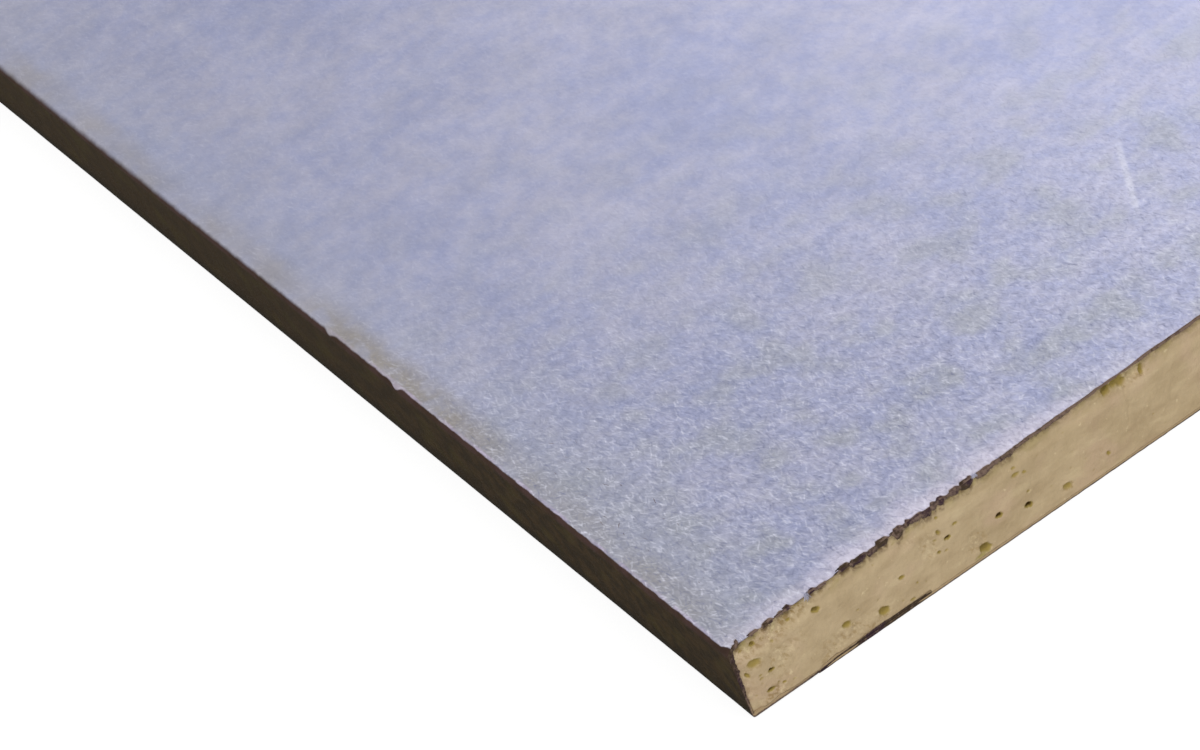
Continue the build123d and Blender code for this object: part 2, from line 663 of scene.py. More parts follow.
def fluffed_cut(tree, u, v, wear_and_sheen):
    """The paler band along the cut, strongest over the torn plies; the wear sets its reach."""
    along_cut = product(tree, smooth_step(tree, u, 8 * MM, 20 * MM, 0.65, 0.9),
                        smooth_step(tree, u, 64 * MM, torn_length - 10 * MM, 0.2, 1.0))
    reach = calc(tree, "MULTIPLY_ADD", wear_and_sheen, 12 * MM, -2.0 * MM)
    return product(tree, smooth_step(tree, v, reach, 0.0), along_cut)


def taper_dirt(tree, place, v, from_nose, wear_and_sheen):
    """Faint patches of dirt, and the stain, both within a few millimetres of the nose."""
    patches = smooth_step(tree, noise(tree, place, 10 * MM, 3.0), 0.35, 0.66, 0.1, 0.55)
    near_edge = calc(tree, "MULTIPLY_ADD", wear_and_sheen, 4 * MM, from_nose)
    near_edge = smooth_step(tree, near_edge, 7 * MM, 3.2 * MM)
    from_stain = distance_from(tree, v, STAIN_V)
    stain = product(tree, smooth_step(tree, from_stain, 32 * MM, 9 * MM, 0.0, 0.92),
                    smooth_step(tree, wear_and_sheen, 0.38, 0.56, 0.5, 1.0))
    return product(tree, calc(tree, "MAXIMUM", patches, stain), near_edge)


def nose_highlight_line(tree, v, from_nose, wear_and_sheen):
    """The painted highlight on the nose: a thin line that fades farther along the edge."""
    return product(tree, smooth_step(tree, from_nose, 0.5 * MM, 0.2 * MM),
                   smooth_step(tree, wear_and_sheen, 0.40, 0.62, 0.1, 0.6),
                   smooth_step(tree, v, 88 * MM, 64 * MM))


def frayed_cut(tree, u, v, wear_and_sheen):
    """The last fraction of a millimetre before the cut, where the face has frayed."""
    frayed = calc(tree, "MULTIPLY_ADD", wear_and_sheen, 0.3 * MM, v)
    return product(tree, smooth_step(tree, frayed, 0.36 * MM, 0.14 * MM, 0.0, 0.55),
                   smooth_step(tree, u, torn_length, torn_length - 12 * MM, 0.4, 1.0))


def scuffed(tree, u, v):
    """A slanted scratch: near a line through its middle, and short along it."""
    along_scuff = calc(tree, "SUBTRACT", v, SCUFF_V)
    line_u = calc(tree, "MULTIPLY_ADD", along_scuff, 0.6, SCUFF_U)
    beside = distance_from(tree, u, line_u)
    short = smooth_step(tree, calc(tree, "ABSOLUTE", along_scuff), 7 * MM, 4 * MM)
    return product(tree, short, smooth_step(tree, beside, 0.8 * MM, 0.1 * MM, 0.0, 0.55))


def marked_face(tree, place, u, v, from_nose, shade):
    """The clouded face with its marks, each mixed over the last."""
    # One noise breaks up both the worn marks and the painted highlight.
    wear_and_sheen = noise(tree, place, 5 * MM, 3.0)
    return layered(tree, shade, [
        (fluffed_cut(tree, u, v, wear_and_sheen), FLUFFED),
        (taper_dirt(tree, place, v, from_nose, wear_and_sheen), TAPER_DIRT),
        (nose_highlight_line(tree, v, from_nose, wear_and_sheen), NOSE_HIGHLIGHT),
        (frayed_cut(tree, u, v, wear_and_sheen), FRAYED),
        (scuffed(tree, u, v), FIBRE_LIGHT),
    ])


print("stain", round(STAIN_V, 4), "and scuff", round(SCUFF_V, 4), "from the near end")

# %% [markdown]
# ## The wrapped edge
# Round the nose the pale surface ends, and the paper is dark brown with black and olive
# blotches, painted darker than the paper itself by the shade on this side. Under the nose it
# is worn paler, and by the floor a painted shade makes it nearly black. The line between the
# two sides wanders a little and steps down at two nicks. It is drawn softer farther along,
# because the photograph is out of focus there and the camera here is not.

# %% Colour of the wrapped edge and the line on the nose
NOSE_NICKS = ((64.8, 0.55), (79.2, 0.35))


def edge_colour(tree, place, v, from_nose):
    """The wrapped side: dark brown with painted shade in it, worn paler under the nose, blotched
    black and olive, and painted nearly black as shade by the floor.
    """
    blotch = smooth_step(tree, noise(tree, place, 2.2 * MM, 4.0, 0.65), 0.40, 0.62)
    evener = smooth_step(tree, v, 30 * MM, 110 * MM, 0.0, 0.6)
    blotch = add_node(tree, "Mix", {0: evener, 2: blotch, 3: 0.55}).outputs[0]
    shade = mix_colour(tree, blotch, EDGE_DARK, EDGE_BROWN)
    olive = smooth_step(tree, noise(tree, place, 4.5 * MM, 3.0), 0.50, 0.68)
    shade = mix_colour(tree, product(tree, olive, 0.5), shade, EDGE_OLIVE)
    patchy = smooth_step(tree, noise(tree, place, 4 * MM, 3.0), 0.40, 0.6, 0.5, 1.0)
    worn = smooth_step(tree, from_nose, -0.4 * MM, -1.5 * MM)
    worn = product(tree, calc(tree, "SUBTRACT", 1.0, worn), patchy)
    shade = mix_colour(tree, worn, shade, EDGE_WORN)
    # Painted shade: nearly black towards the floor.
    low = smooth_step(tree, from_nose, -7.5 * MM, -10.8 * MM, 0.0, 0.95)
    shade = mix_colour(tree, low, shade, EDGE_FLOOR_SHADE)
    dimmer = smooth_step(tree, v, 25 * MM, 75 * MM, 1.0, 0.9)
    return tinted(tree, shade, dimmer)


def nicked(tree, v):
    """How far the pale side reaches down over the nose at its nicks, in metres."""
    reach = 0.0
    for middle, deep in NOSE_NICKS:
        beside = distance_from(tree, v, middle * MM)
        bite = smooth_step(tree, beside, 1.3 * MM, 0.0, 0.0, deep * MM)
        reach = calc(tree, "ADD", reach, bite)
    return reach


def wrapped_mask(tree, place, v, from_nose):
    """0 on the pale side and 1 on the dark one, with a line that wanders by 0.2 mm."""
    wander = calc(tree, "MULTIPLY_ADD", noise(tree, place, 1.6 * MM, 4.0), 0.4 * MM, -0.2 * MM)
    wander = calc(tree, "ADD", wander, nicked(tree, v))
    at_corner = smooth_step(tree, v, 1.6 * MM, 0.1 * MM, 0.0, -0.4 * MM)
    wander = calc(tree, "ADD", wander, at_corner)
    soft = smooth_step(tree, v, 50 * MM, 150 * MM, 0.10 * MM, 0.55 * MM)
    height = calc(tree, "ADD", from_nose, wander)
    return smooth_step(tree, height, soft, product(tree, soft, -1.0))


print(len(NOSE_NICKS), "nicks in the line on the nose")

# %% [markdown]
# ## The face paper's material
# Now the layers come together: clouds, marks, fibres, fine mottling, and the dark side over
# all of it. Fibres and mottling are strongest near the corner and weaker farther off, where
# the photograph loses them. The felt also lifts the surface by a few hundredths of a
# millimetre, which only the light's fall shows, so a bump is enough.

# %% Face paper material
def with_fibres(tree, shade, tone, raised):
    """Pale fibres where the felt's tone is positive and dark ones where it is negative."""
    light = product(tree, calc(tree, "MAXIMUM", tone, 0.0), raised)
    dark = product(tree, calc(tree, "MAXIMUM", product(tree, tone, -1.0), 0.0), raised)
    return layered(tree, shade, [(light, FIBRE_LIGHT), (dark, FIBRE_DARK)])


def mottled(tree, place, crisp):
    """Fine mottling, 0 to 1, and a factor near 1 from it and from wide, slow clouds."""
    grain = noise(tree, place, 0.7 * MM, 2.0, 0.5)
    lumps = noise(tree, place, 1.5 * MM, 2.0, 0.5)
    mottle = calc(tree, "MULTIPLY_ADD", grain, 0.55, product(tree, lumps, 0.45))
    swing = product(tree, crisp, 0.12)
    flecks = product(tree, smooth_step(tree, mottle, 0.34, 0.66, -1.0, 1.0), swing)
    wide = smooth_step(tree, noise(tree, place, 9 * MM, 2.0), 0.34, 0.66, -0.035, 0.035)
    wide = product(tree, wide, calc(tree, "SUBTRACT", 1.2, crisp))
    return mottle, calc(tree, "ADD", calc(tree, "ADD", flecks, wide), 1.0)


def face_paper_material():
    """Pale and dark side mixed at the nose, with the felt and the mottling as relief."""
    material, tree, shader = new_material("Lavender face paper", 0.92, 0.08)
    place, u, v, from_nose = paper_map(tree)
    fibres = place_group(tree, felt, {"Vector": place, "Across": 0.42 * MM, "Along": 1.35 * MM,
                                      "Half width": 0.17 * MM, "Spread": 1.6})
    inwards = calc(tree, "MULTIPLY_ADD", from_nose, 0.35, v)
    crisp = smooth_step(tree, inwards, 95 * MM, 22 * MM, 0.22, 1.0)
    pale = clouded_face(tree, place, v, from_nose)
    pale = marked_face(tree, place, u, v, from_nose, pale)
    pale = with_fibres(tree, pale, fibres["Tone"], product(tree, crisp, 0.31))
    mottle, factor = mottled(tree, place, crisp)
    pale = tinted(tree, pale, factor)
    wrapped = wrapped_mask(tree, place, v, from_nose)
    shade = mix_colour(tree, wrapped, pale, edge_colour(tree, place, v, from_nose))
    relief = product(tree, fibres["Height"], 0.02 * MM)
    relief = calc(tree, "MULTIPLY_ADD", mottle, 0.10 * MM, relief)
    relief = product(tree, relief, smooth_step(tree, crisp, 0.0, 1.0, 0.3, 1.0))
    dress(tree, shader, shade, relief)
    return material


face_finish = face_paper_material()
print(face_finish.name, len(face_finish.node_tree.nodes), "nodes")

# %% [markdown]
# ## Torn plies
# Inside, the paper is darker than its face: the cut shows it as a purple-brown line, and
# where it tore, as a ragged fringe. Gypsum dust covers the cut from the core outwards. The
# mesh stores how deep a point lies in the paper, how dusty it is and how dark, and noise
# breaks up the borders between them.

# %% Material of the torn plies
PLY_DARK = colour(54, 36, 44)
PLY_BROWN = colour(64, 50, 36)
PLY_LIGHT = colour(118, 98, 86)
DUSTED = colour(164, 142, 110)


def ply_material():
    """Plies in fine lumps, paler where the attribute dark is low. Dust lies where depth into
    the paper, the attribute dust and half the lumps add up to more than about 1.3."""
    material, tree, shader = new_material("Torn paper plies", 0.9, 0.2)
    place = add_node(tree, "TexCoord").outputs["Object"]
    lumps = noise(tree, place, 0.55 * MM, 4.0, 0.7)
    brown = smooth_step(tree, noise(tree, place, 2.5 * MM, 2.0), 0.42, 0.6)
    deep = mix_colour(tree, brown, PLY_DARK, PLY_BROWN)
    lightness = calc(tree, "SUBTRACT", 0.78, stored(tree, "dark"))
    paler = calc(tree, "MULTIPLY_ADD", lightness, 0.62, lumps)
    level = calc(tree, "ADD", stored(tree, "depth"), stored(tree, "dust"))
    level = calc(tree, "ADD", level, product(tree, lumps, 0.5))
    shade = layered(tree, deep, [
        (smooth_step(tree, paler, 0.40, 0.72), PLY_LIGHT),
        (smooth_step(tree, level, 1.15, 1.45), DUSTED),
    ])
    dress(tree, shader, shade, product(tree, lumps, 0.12 * MM))
    return material


ply_finish = ply_material()
print(ply_finish.name, len(ply_finish.node_tree.nodes), "nodes")

# %% [markdown]
# ## Back paper
# The back of a board is plain grey-brown paper. It needs no map of its own, because it lies
# flat, so it reads the object's own coordinates. Felt and clouds come from the same groups
# as on the face, with thinner fibres and slightly larger clouds.

# %% Material of the back paper
BACK_LIGHT = colour(132, 122, 112)
BACK_DARK = colour(104, 95, 86)


def back_paper_material():
    """Grey-brown clouds, made a little lighter and darker by the fibres."""
    material, tree, shader = new_material("Grey back paper", 0.9, 0.2)
    place = add_node(tree, "TexCoord").outputs["Object"]
    fibres = place_group(tree, felt, {"Vector": place, "Across": 0.5 * MM, "Along": 1.6 * MM,
                                      "Half width": 0.08 * MM, "Spread": 2.0})
    shade = mix_colour(tree, clouds(tree, place, 260.0, 20.0, 0.4), BACK_DARK, BACK_LIGHT)
    shade = tinted(tree, shade, calc(tree, "MULTIPLY_ADD", fibres["Tone"], 0.12, 1.0))
    dress(tree, shader, shade, product(tree, fibres["Height"], 0.03 * MM))
    return material


back_finish = back_paper_material()
print(back_finish.name, len(back_finish.node_tree.nodes), "nodes")

# %% [markdown]
# ## Loose fibres
# Fibres that stand off the paper are small meshes of their own. Each stores one tone, which
# picks a colour between a dark and a light one, so that neighbours differ a little.

# %% Materials of the loose fibres
def fibre_material(name, dark, light):
    """A colour between dark and light, by the tone that the fibre stores."""
    material, tree, shader = new_material(name, 0.8, 0.3)
    dress(tree, shader, mix_colour(tree, stored(tree, "tone"), dark, light))
    return material


pale_fibre_finish = fibre_material("Pale fibres", colour(176, 177, 200), colour(228, 224, 236))
dark_fibre_finish = fibre_material("Dark fibres", colour(52, 38, 42), colour(120, 100, 96))
print(pale_fibre_finish.name, "and", dark_fibre_finish.name)

# %% [markdown]
# ## The gypsum
# The sawn core is a warm tan, clouded, blushed pink in places, with faint streaks where the
# blade passed and small pale specks. Flat streaks come from a noise that is squeezed in
# height. These colours are the same all over the core, so they need nothing from the mesh.

# %% The gypsum's own colours
GYPSUM_DARK = colour(176, 155, 121)
GYPSUM_LIGHT = colour(192, 171, 137)
GYPSUM_PINK = colour(192, 166, 139)
GYPSUM_STREAK = colour(160, 138, 106)
PORE_OLIVE = colour(156, 136, 74)
# Painted shade inside deep pores and the chip.
PORE_SHADE = colour(74, 54, 22)
RIM_YELLOW = colour(166, 150, 98)
PALE_SPECK = colour(222, 204, 164)
CRUMB_DARK = colour(146, 120, 74)
# Painted shade under the torn plies.
SHADE_UNDER_PLIES = colour(112, 92, 66)


def sawn_tan(tree, place):
    """Two tans in clouds, a pink blush, dark and pale streaks, and pale specks."""
    shade = mix_colour(tree, clouds(tree, place, 420.0, 110.0, 0.5), GYPSUM_DARK, GYPSUM_LIGHT)
    blush = smooth_step(tree, noise(tree, place, 6 * MM, 2.0), 0.5, 0.7)
    squeezed = vector_calc(tree, "MULTIPLY", place, (1.0, 1.0, 3.0))
    streaks = noise(tree, squeezed, 5 * MM, 4.0)
    specks = noise(tree, place, 1.0 * MM, 2.0, 0.6)
    return layered(tree, shade, [
        (product(tree, blush, 0.6), GYPSUM_PINK),
        (smooth_step(tree, streaks, 0.52, 0.68, 0.0, 0.35), GYPSUM_STREAK),
        (smooth_step(tree, streaks, 0.44, 0.30, 0.0, 0.2), PALE_SPECK),
        (smooth_step(tree, specks, 0.64, 0.76, 0.0, 0.55), PALE_SPECK),
    ])


print("dark gypsum", [round(v, 3) for v in GYPSUM_DARK])

# %% [markdown]
# ## Crumbs, rim, painted shade and pores
# Under the paper and at the corner the core has crumbled, and its rim is yellowish. Below the
# torn plies it is darkened by painted shade. Air pores are olive-brown inside, with painted
# shade in the deeper ones and in the chip. Pores, chips and crumbs are real hollows in the
# mesh further down, which stores where they are. The material only colours them. Away from
# the close corner the mesh is coarser, and there it marks small pores alone.

# %% Gypsum material
def broken_places(tree, place):
    """Masks and colours of slanted crumbs, of the rim, and of the painted shade under torn plies.
    """
    x, y, z = add_node(tree, "SeparateXYZ", {0: place}).outputs
    leaning_x = calc(tree, "MULTIPLY_ADD", z, 0.45, x)
    slanted = {0: leaning_x, 1: y, 2: product(tree, z, 0.8)}
    slanted = add_node(tree, "CombineXYZ", slanted).outputs[0]
    crumbs = noise(tree, slanted, 0.7 * MM, 4.0, 0.65)
    crumb = stored(tree, "crumb")
    lumpy = smooth_step(tree, noise(tree, place, 1.3 * MM, 3.0), 0.38, 0.6)
    dulled = smooth_step(tree, crumbs, 0.62, 0.44, 0.25, 0.95)
    return [
        (product(tree, smooth_step(tree, crumbs, 0.53, 0.65, 0.0, 0.75), crumb), PALE_SPECK),
        (product(tree, smooth_step(tree, crumbs, 0.48, 0.39, 0.0, 0.9), crumb), CRUMB_DARK),
        (product(tree, stored(tree, "rim"), lumpy), RIM_YELLOW),
        # Painted shade under the hanging torn plies.
        (product(tree, stored(tree, "painted_shade_under_plies"), dulled), SHADE_UNDER_PLIES),
    ]


def open_pores(tree, place):
    """Masks and colours of the stored pores, olive with painted shade in the deep ones, and of
    small marks where the mesh is coarse.
    """
    pore = stored(tree, "pore")
    coarse = calc(tree, "SUBTRACT", 1.0, stored(tree, "close"), clamp=True)
    holes = add_node(tree, "TexVoronoi", {"Vector": place, "Scale": 1 / (6 * MM)})
    marks = smooth_step(tree, holes.outputs["Distance"], 0.10, 0.05)
    return [
        (smooth_step(tree, pore, 0.0, 0.5), PORE_OLIVE),
        (smooth_step(tree, pore, 0.5, 1.0), PORE_SHADE),
        (product(tree, marks, coarse), PORE_OLIVE),
    ]


def gypsum_material():
    """Sawn tan, broken places and pores over it, and a fine crumbly relief."""
    material, tree, shader = new_material("Foamed gypsum", 0.92, 0.15)
    place = add_node(tree, "TexCoord").outputs["Object"]
    shade = sawn_tan(tree, place)
    shade = layered(tree, shade, broken_places(tree, place) + open_pores(tree, place))
    grain = noise(tree, place, 0.4 * MM, 4.0, 0.65)
    dress(tree, shader, shade, product(tree, grain, 0.09 * MM))
    return material


gypsum_finish = gypsum_material()
print(gypsum_finish.name, len(gypsum_finish.node_tree.nodes), "nodes")

# %% [markdown]
# ## Where the paper tore
# A knife parts only the face of the paper. The inner plies tear when the board is snapped,
# and stay under the face as dark clumps. Each clump was read from the photograph, and
# noise makes it ragged. One function tells where the clumps are, because the face, the
# fringe, the painted shade on the core and the loose fibres all have to follow them.

# %% The band of torn plies
# Start and end from the corner, top and bottom below the face, in millimetres; darkness.
CLUMPS = (
    (18.0, 22.3, -0.05, 0.3, 0.7), (23.0, 34.3, -0.1, 0.35, 0.6), (34.8, 48.0, -0.1, 0.3, 0.5),
    (0.8, 1.5, -0.2, 0.4, 0.6), (1.3, 2.0, -0.7, 0.3, 0.85), (3.1, 4.3, -0.3, 0.2, 0.45),
    (5.1, 6.5, -0.5, 0.4, 0.85), (6.9, 7.8, -0.35, 0.25, 0.6), (8.0, 8.9, -0.6, 0.35, 0.8),
    (11.2, 12.3, -0.4, 0.25, 1.0), (12.2, 13.8, -0.1, 0.35, 0.5), (15.6, 17.0, -0.5, 0.3, 1.0),
    (17.2, 19.3, -0.3, 0.7, 0.9), (19.5, 20.8, -0.1, 0.9, 0.65), (20.7, 22.3, -0.5, 0.7, 0.95),
    (23.1, 24.4, -0.6, 1.2, 0.8), (24.3, 25.0, -0.3, 0.4, 0.8), (24.9, 25.6, -0.6, 0.3, 0.9),
    (25.5, 27.4, -0.3, 0.6, 0.5), (27.1, 28.4, 0.0, 1.1, 0.75), (28.3, 29.2, -0.5, 0.9, 0.55),
    (29.3, 30.4, -0.6, 0.7, 0.85), (30.3, 31.2, -0.1, 0.35, 0.5), (31.1, 32.4, -0.4, 0.6, 0.65),
    (32.5, 34.2, -0.5, 1.0, 0.95), (34.8, 36.8, -0.2, 0.8, 0.45), (36.6, 38.1, -0.15, 0.6, 0.5),
    (38.1, 40.0, -0.15, 0.75, 0.7), (39.9, 44.4, -0.2, 0.35, 0.6), (44.2, 48.4, -0.2, 0.4, 0.5),
    (48.2, 53.0, -0.15, 0.3, 0.4), (53.0, 58.0, -0.1, 0.25, 0.4), (57.8, 74.0, -0.2, 0.3, 0.5),
)


def torn_band(u):
    """Top and bottom of the dark torn plies along the cut, in metres below the face's own
    edge, a mask of where they are, and how dark they are. Each clump fades in and out."""
    x = (u - taper_start + x_on_nose) / MM + 0.22 * rough_noise(u, 0, 0.6 * MM, 13)
    top, bottom, torn, dark = (np.zeros(np.shape(u)) for _ in range(4))
    for first, last, high, low, tone in CLUMPS:
        clump = ramp(x, first - 0.25, first + 0.25) * ramp(x, last + 0.25, last - 0.25)
        top, bottom = np.minimum(top, (high - 0.05) * clump), np.maximum(bottom, low * clump)
        torn, dark = np.maximum(torn, clump), np.maximum(dark, tone * clump)
    ragged = rough_noise(u, 0, 0.45 * MM, 11) * np.clip(0.05 - 0.3 * top, 0.05, 0.2)
    return MM * (0.05 + top + ragged), MM * bottom, torn, dark


print("the paper tore in", len(CLUMPS), "clumps")

# %% [markdown]
# ## Relief and torn front of the face
# The outer side of the paper is pressed in a little, never out, so that the sheet keeps its
# size. Soft waves, the fluffed cut and three nicks on the nose press it in. Its front line
# stands back where torn plies show above the cut, and that fades out within 3 mm.

# %% Relief and torn front of the paper
wave_depth = 0.06 * MM
PRESSED_NICKS = ((78.4, 0.9, 0.35), (62.2, 4.6, 0.22), (24.0, 1.6, 0.15))


def pressed(u):
    """How far the face is pressed down at the cut: more where no plies are left under it,
    and not at all on the wrapped edge and the back."""
    return MM * (0.08 + 0.10 * (1 - torn_band(u)[2])) * ramp(u, nose_start, taper_start)


def face_relief(u, v):
    """Depth below the nominal face: waves, the pressed cut and the nicks. Each nick falls off
    smoothly from its place on the nose; its v, half length and depth are in millimetres."""
    depth = 0.5 * wave_depth * (1 + rough_noise(u, v, 7 * MM, 3))
    lumps = 1 + 0.8 * rough_noise(u, v, 0.5 * MM, 7)
    depth += pressed(u) * ramp(v, 1.1 * MM, 0) * (0.75 + 0.25 * lumps)
    for middle, half_long, deep in PRESSED_NICKS:
        beside = np.hypot((v - middle * MM) / half_long, (u - taper_start) / 1.3) / MM
        depth += deep * MM * ramp(beside, 1, 0.2)
    return depth


def torn_front(u):
    """How far the torn front line stands back from the cut, in metres: as far as brings it
    to the top of the torn band for an eye that looks down at 45 degrees."""
    back = np.clip(pressed(u) - torn_band(u)[0], 0.02 * MM, 1 * MM)
    return 0.03 * MM + (back - 0.03 * MM) * ramp(u, nose_start, taper_start)


def paper_points(u, v, depth, front):
    """Points on the paper: the outline at u, moved in by depth, and v along the board. The
    front line is moved back by front, and the rows behind it less and less, over 3 mm."""
    u, v = np.broadcast_arrays(u, v)
    section, _ = inside_outline(u, depth)
    return in_space(section, v + front * ramp(v, 3 * MM, 0))


front_steps = torn_front(taper_start + np.linspace(0, torn_length, 200))
print("the front line stands back by up to", round(front_steps.max() / MM, 2), "mm")

# %% [markdown]
# ## The face paper as one folded sheet
# The real sheet of paper is folded, so its mesh is a grid too: one direction follows the
# outline from flap to flap, the other runs along the board. Rows and columns stand close
# together only at the photographed corner. A second, coarser grid is the inner side.

# %% Grids of the face paper
length = 2 * half_length
close_end = taper_start + 108 * MM
fold_stops = [0, heel_start, edge_start, nose_start, taper_start, taper_start + torn_length,
              close_end, far_taper, *outline[9:13, 0], outline_length]
fine_u = graded(fold_stops, np.array([2, 0.2, 0.7, 0.15, 0.18, 1, 50, 12, 0.3, 3, 0.3, 8]) * MM)
fine_v = graded(np.array([0, 2.4, 12, 178, 500, length / MM]) * MM,
                np.array([0.12, 0.6, 1.5, 20, 60]) * MM)
plain_u = graded(fold_stops, np.array([6, 0.3, 3, 0.3, 4, 12, 60, 16, 0.3, 4, 0.3, 8]) * MM)
plain_v = graded(np.array([0, 12, 178, length / MM]) * MM, np.array([3, 20, 100]) * MM)

outer_u, outer_v = fine_u[:, None], fine_v[None, :]
outer = paper_points(outer_u, outer_v, face_relief(outer_u, outer_v), torn_front(outer_u))
inner = paper_points(plain_u[:, None], plain_v[None, :], face_paper, 0.3 * MM)
outer_index = point_numbers(fine_u.size, fine_v.size)
inner_index = point_numbers(plain_u.size, plain_v.size, outer_index.size)
print("outer side", outer_index.shape, "and inner side", inner_index.shape)

# %% [markdown]
# ## The cut end of the face paper
# Sewing the borders of both grids together closes the sheet, and gives the strip on which
# the torn plies show. Dust lies thick on it by the floor, and thin up the edge and on the
# clumps, whose darkness the strip takes. Both values are worked out for every point from its
# place in the paper's map, although only the strip and the inner side show them.

# %% The face paper
def cut_tones(u):
    """Dust and darkness of the cut, by the distance u along the outline."""
    up_edge = ramp(u, edge_start, edge_start + 5 * MM)
    overlap = ramp(u, heel_start - 14.5 * MM, heel_start - 15.5 * MM)
    near_heel = ramp(u, heel_start - 9 * MM, heel_start - 6 * MM) * (1 - up_edge)
    _, _, torn, dark = torn_band(u)
    before_face = u < taper_start
    dust = np.where(before_face, 0.72 - 0.72 * np.maximum(up_edge, overlap), 0.6 - 0.45 * torn)
    dust = np.where(u < 1.8 * MM, 0.9, dust)
    return dust, np.where(before_face, 0.85 - 0.45 * near_heel, dark)


def map_of_grid(u, v):
    """u and v of each point of a grid, one row for a point."""
    return np.stack(np.broadcast_arrays(u[:, None], v[None, :]), axis=-1).reshape(-1, 2)


paper_uv = np.concatenate([map_of_grid(fine_u, fine_v), map_of_grid(plain_u, plain_v)])
dust, dark = cut_tones(paper_uv[:, 0])
faces = [
    grid_quads(outer_index),
    grid_quads(inner_index),
    sewn_borders(outer_index, fine_u, fine_v, inner_index, plain_u, plain_v),
]
add_piece(
    "face_paper_sheet",
    np.concatenate([outer.reshape(-1, 3), inner.reshape(-1, 3)]),
    faces,
    [face_finish, ply_finish],
    stands_for=["face_paper"],
    face_material=np.repeat([0, 1, 1], [len(part) for part in faces]),
    attributes={
        "depth": np.repeat([0.0, 1.0], [outer_index.size, inner_index.size]),
        "dust": dust,
        "dark": dark,
    },
    uv=paper_uv - (nose_middle, 0.0),
)

# %% [markdown]
# ## How far the torn plies hang
# The torn plies hang over the core as a dark, ragged fringe. Along the face it hangs a
# little lower than its clumps. Up the wrapped edge its reach is read between a few places,
# given as height above the heel and reach in millimetres, and noise makes it ragged.

# %% How far the fringe hangs
EDGE_REACH = np.array([
    (0.0, 0.28), (1.5, 0.34), (2.5, 0.44), (4.5, 0.52), (5.6, 0.54), (6.3, 0.82), (7.3, 0.74),
    (9.3, 0.88), (10.6, 0.8),
]) * MM


def fringe_reach(u):
    """How far the fringe hangs in from the face, in metres, by distance along the outline."""
    _, bottom, torn, _ = torn_band(u)
    ragged = rough_noise(u, 0, 0.7 * MM, 21, 4)
    on_face_side = np.where(torn > 0.02, bottom + 0.32 * MM + 0.5 * bottom * ragged, 0)
    on_edge_side = np.interp(u, edge_start + EDGE_REACH[:, 0], EDGE_REACH[:, 1])
    on_edge_side = on_edge_side + 0.19 * MM * ragged
    return np.maximum(np.where(u < taper_start, on_edge_side, on_face_side), 0.36 * MM)


print("at the nose the fringe hangs", round(float(fringe_reach(taper_start) / MM), 2), "mm")

# %% [markdown]
# ## The fringe of torn plies
# The fringe is a ribbon that follows the fold at the cut: a closed ring of points for each
# place along it, from inside the paper down over the core and up again behind its front. The
# front swells towards us in the middle of its height and is lumpy there.

# %% The fringe
fringe_u = graded([edge_start, taper_start + torn_length, taper_start + 74 * MM],
                  [0.09 * MM, 0.2 * MM])[:, None]
front_s = np.linspace(0, 1, 15)
ring_s = np.concatenate([front_s, np.linspace(1, 0, 5)])[None, :]
is_front = (np.arange(ring_s.size) < front_s.size)[None, :]
top_drop = 0.28 * MM
drop = top_drop + ring_s * (fringe_reach(fringe_u) - top_drop)
swell = 4 * ring_s * (1 - ring_s)
lumpy = rough_noise(fringe_u, drop, 0.45 * MM, 41)
front_y = 0.30 * MM - 0.14 * MM * swell + 0.10 * MM * lumpy * swell
front_y = np.clip(front_y, 0.01 * MM, end_setback)
ring_y = np.where(is_front, front_y, end_setback + 0.14 * MM)
section, _ = inside_outline(np.broadcast_to(fringe_u, drop.shape), drop)
ring_index = point_numbers(*drop.shape)
low = np.broadcast_to(ring_s, drop.shape)
fringe_dark = np.where(fringe_u < taper_start, 0.85, torn_band(fringe_u)[3])
add_piece(
    "face_paper_torn_plies",
    in_space(section, ring_y),
    [tube_quads(ring_index), ring_index[:1], ring_index[-1:]],
    [ply_finish],
    attributes={
        "depth": 0.3 * low,
        "dust": 0.68 * low**2,
        "dark": np.broadcast_to(fringe_dark, drop.shape),
    },
)

# %% [markdown]
# ## Section of the core
# The core fills what the paper leaves. For each place across the sheet it has one lowest
# and one highest point, both found on the inner side of the paper's outline. The core also
# reaches down between the two flaps, to the back paper.

# %% Lowest and highest point of the core
inside, _ = inside_outline(np.linspace(0, field_start, 9001), face_paper)
side = int(np.argmin(inside[:, 0]))
reach_out = -inside[:, 0]
core_end_x = reach_out[side] - 0.01 * MM


def core_top(x):
    """Highest z of the core at x, by distance from the sheet's middle."""
    return np.interp(np.abs(x), reach_out[side:][::-1], inside[side:, 1][::-1])


def core_bottom(x):
    """Lowest z of the core at x: the back paper, then the flap, then up the edge."""
    places = np.concatenate([[0, flap_end_x - 0.02 * MM], reach_out[: side + 1]])
    heights = np.concatenate([[back_paper, back_paper], inside[: side + 1, 1]])
    return np.interp(np.abs(x), places, heights)


print("core", round(2 * core_end_x, 4), "wide,", round(float(core_top(0)), 4), "high")
